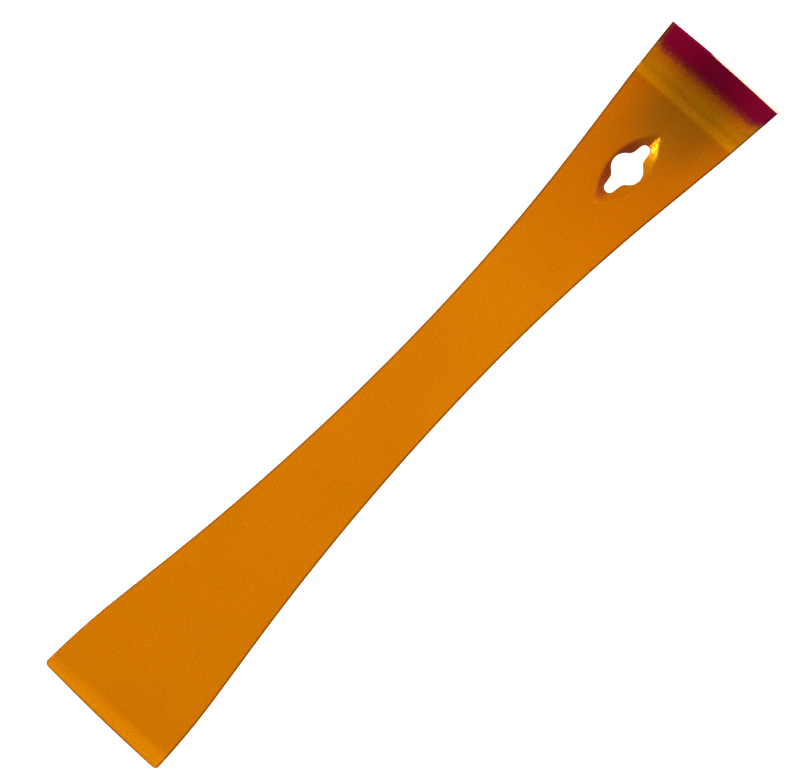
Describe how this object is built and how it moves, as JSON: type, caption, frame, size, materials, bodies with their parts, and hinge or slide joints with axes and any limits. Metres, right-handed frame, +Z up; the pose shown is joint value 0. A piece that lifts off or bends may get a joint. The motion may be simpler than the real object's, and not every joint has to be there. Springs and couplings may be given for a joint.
{
  "type": "flat pry bar",
  "caption": "Flat pry and scraper bar with a wide thin blade, a slim waist, an upturned hook end and a slotted nail hole.",
  "frame": {"origin": "centre of the bar's outline seen from above, on the plane of its flat underside", "axes": "+X along the bar from the wide blade to the hook, +Y across it, +Z up, the way the hook is turned"},
  "size_m": [0.2562, 0.0438, 0.0229],
  "materials": {
    "ground_steel": "satin",
    "orange_lacquer": "satin",
    "red_lacquer": "satin"
  },
  "bodies": {
    "root": {"steel_bar": "ground_steel", "orange_coat": "orange_lacquer", "red_tip_coat": "red_lacquer"}
  },
  "joints": []
}
